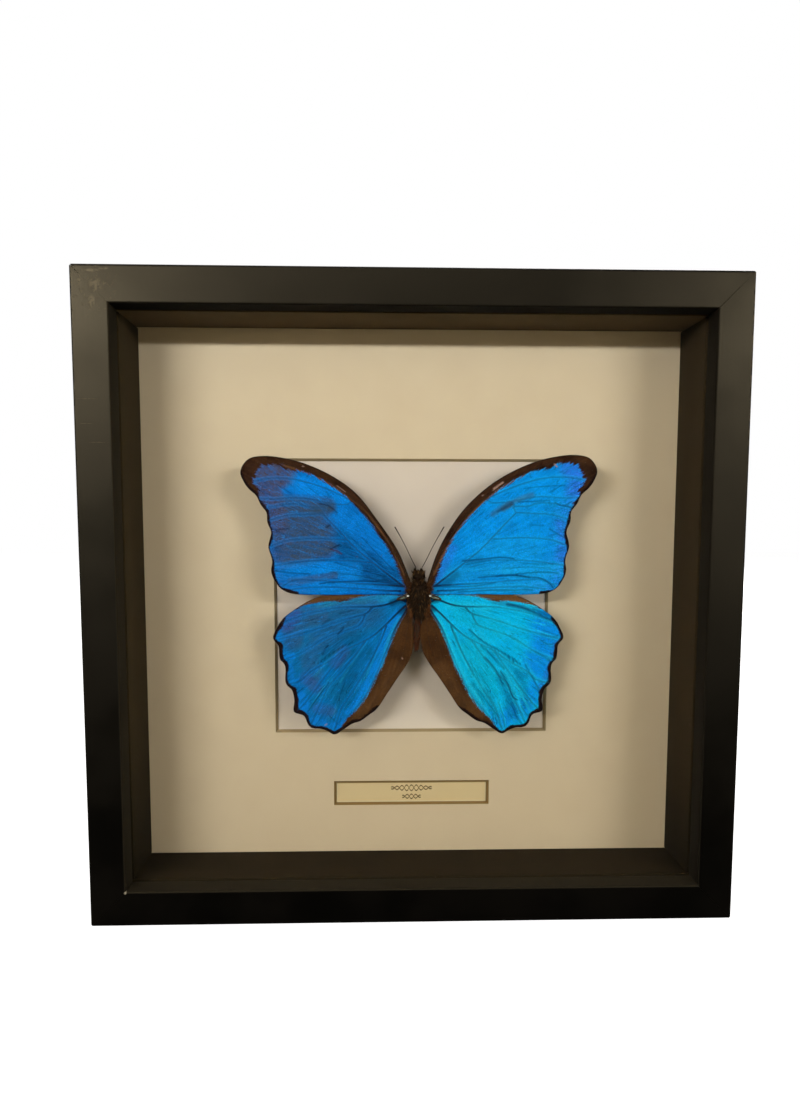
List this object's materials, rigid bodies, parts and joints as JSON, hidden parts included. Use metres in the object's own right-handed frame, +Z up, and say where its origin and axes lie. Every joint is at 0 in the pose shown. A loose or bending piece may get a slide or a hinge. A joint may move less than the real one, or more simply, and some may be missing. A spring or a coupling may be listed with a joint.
{
  "type": "framed butterfly specimen",
  "caption": "Blue butterfly, spread and dried, fixed in a deep black wooden box frame with glass, a cut mat and a bare label.",
  "frame": {"origin": "middle of the underside, below the middle of the frame's depth", "axes": "+Z up as it stands or hangs, -Y out of the glass, +X to the viewer's right"},
  "size_m": [0.25, 0.045, 0.248],
  "materials": {
    "frame": "satin black paint, scuffed at one corner",
    "glass": "clear, polished",
    "spacer": "black paper lining, matt",
    "mat": "cream paper face, bevel cut, matt",
    "card": "smooth, matt",
    "label": "pale yellow, matt, no lettering",
    "cork": "raw cork",
    "down": "dark brown down",
    "wing_blue": "iridescent blue scales with dark brown margins",
    "antenna": "dark brown",
    "hardboard": "brown pressed fibre",
    "steel": "thin zinc plating"
  },
  "bodies": {
    "root": {"frame_rail_top": "frame", "frame_rail_right": "frame", "frame_rail_bottom": "frame", "frame_rail_left": "frame", "glass_pane": "glass", "spacer_top": "spacer", "spacer_bottom": "spacer", "spacer_left": "spacer", "spacer_right": "spacer", "mat_board": "mat", "backing_card": "card", "label_card": "label", "specimen_block": "cork", "thorax": "down", "head": "down", "abdomen": "down", "forewing_left": "wing_blue", "forewing_right": "wing_blue", "hindwing_left": "wing_blue", "hindwing_right": "wing_blue", "antenna_left": "antenna", "antenna_right": "antenna", "back_panel": "hardboard", "retaining_tab_1": "steel", "retaining_tab_2": "steel", "retaining_tab_3": "steel", "retaining_tab_4": "steel", "retaining_tab_5": "steel", "retaining_tab_6": "steel", "retaining_tab_7": "steel", "retaining_tab_8": "steel", "hanger_plate": "steel", "hanger_rivet_left": "steel", "hanger_rivet_right": "steel"}
  },
  "joints": []
}
